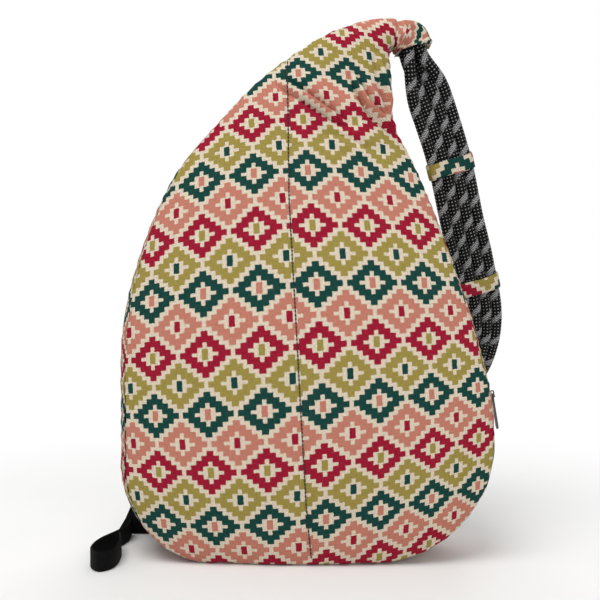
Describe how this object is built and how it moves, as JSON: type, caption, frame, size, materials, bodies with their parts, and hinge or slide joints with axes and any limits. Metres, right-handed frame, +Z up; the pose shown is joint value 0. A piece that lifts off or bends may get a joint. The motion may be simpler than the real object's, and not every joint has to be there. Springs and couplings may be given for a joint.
{
  "type": "rope sling bag",
  "caption": "Teardrop canvas sling bag in a stepped-diamond print, its neck folded over to a flat strap of parallel braided ropes with sewn keepers.",
  "frame": {"origin": "centre of the flat base, on the floor", "axes": "+Z up, -Y towards the front panel, +X to the right as seen from the front"},
  "size_m": [0.3323, 0.1496, 0.4245],
  "materials": {
    "front_panel": "printed canvas weave",
    "back_panel": "printed canvas weave, padded",
    "side_band_left": "printed canvas weave",
    "side_band_right": "printed canvas weave",
    "base_panel": "printed canvas weave",
    "neck_sleeve": "printed canvas weave, gathered",
    "lining_sack": "plain woven lining",
    "keeper_1": "printed canvas weave",
    "keeper_2": "printed canvas weave",
    "keeper_3": "printed canvas weave",
    "rope_end_binding": "printed canvas weave, folded",
    "rope_1": "braided, black with white and grey flecks",
    "rope_2": "braided, black with white and grey flecks",
    "rope_3": "braided, black with white and grey flecks",
    "rope_4": "braided, black with white and grey flecks",
    "strap_webbing": "black ribbed webbing",
    "anchor_webbing": "black ribbed webbing",
    "anchor_tab": "black ribbed webbing",
    "webbing_tail": "black ribbed webbing",
    "buckle_socket": "satin moulded",
    "buckle_plug": "satin moulded",
    "zip_tape_left": "woven tape",
    "zip_tape_right": "woven tape",
    "zip_chain_left": "satin coil",
    "zip_chain_right": "satin coil",
    "zip_slider_left": "satin black",
    "zip_slider_right": "satin black",
    "zip_pull_left": "satin black",
    "zip_pull_right": "satin black"
  },
  "bodies": {
    "bag": {"front_panel": "front_panel", "back_panel": "back_panel", "side_band_left": "side_band_left", "side_band_right": "side_band_right", "base_panel": "base_panel", "neck_sleeve": "neck_sleeve", "lining_sack": "lining_sack", "keeper_1": "keeper_1", "keeper_2": "keeper_2", "keeper_3": "keeper_3", "rope_end_binding": "rope_end_binding", "rope_1": "rope_1", "rope_2": "rope_2", "rope_3": "rope_3", "rope_4": "rope_4", "strap_webbing": "strap_webbing", "anchor_webbing": "anchor_webbing", "anchor_tab": "anchor_tab", "webbing_tail": "webbing_tail", "buckle_socket": "buckle_socket", "zip_tape_left": "zip_tape_left", "zip_tape_right": "zip_tape_right", "zip_chain_left": "zip_chain_left", "zip_chain_right": "zip_chain_right"},
    "slider_left": {"zip_slider_left": "zip_slider_left"},
    "pull_left": {"zip_pull_left": "zip_pull_left"},
    "slider_right": {"zip_slider_right": "zip_slider_right"},
    "pull_right": {"zip_pull_right": "zip_pull_right"},
    "plug": {"buckle_plug": "buckle_plug"}
  },
  "joints": [
    {"name": "zip_travel_left", "type": "hinge", "parent": "bag", "child": "slider_left", "pos_m": [0.16, 0.019, 0.1417], "axis": [0, 1, 0], "range_deg": [0, 19]},
    {"name": "zip_travel_right", "type": "hinge", "parent": "bag", "child": "slider_right", "pos_m": [-0.7316, 0.016, -0.07506], "axis": [0, -1, 0], "range_deg": [0, 8.5]},
    {"name": "pull_swing_left", "type": "hinge", "parent": "slider_left", "child": "pull_left", "pos_m": [-0.15184, 0.02034, 0.14713], "axis": [0.231, 0.9729, -0.004], "range_deg": [0, 120]},
    {"name": "pull_swing_right", "type": "hinge", "parent": "slider_right", "child": "pull_right", "pos_m": [0.1512, 0.01658, 0.12404], "axis": [0.0971, -0.995, 0.0219], "range_deg": [0, 115]},
    {"name": "buckle_release", "type": "slide", "parent": "bag", "child": "plug", "axis": [1, 0, 0], "range_m": [0, 0.024], "deforming": ["strap_webbing"]}
  ]
}
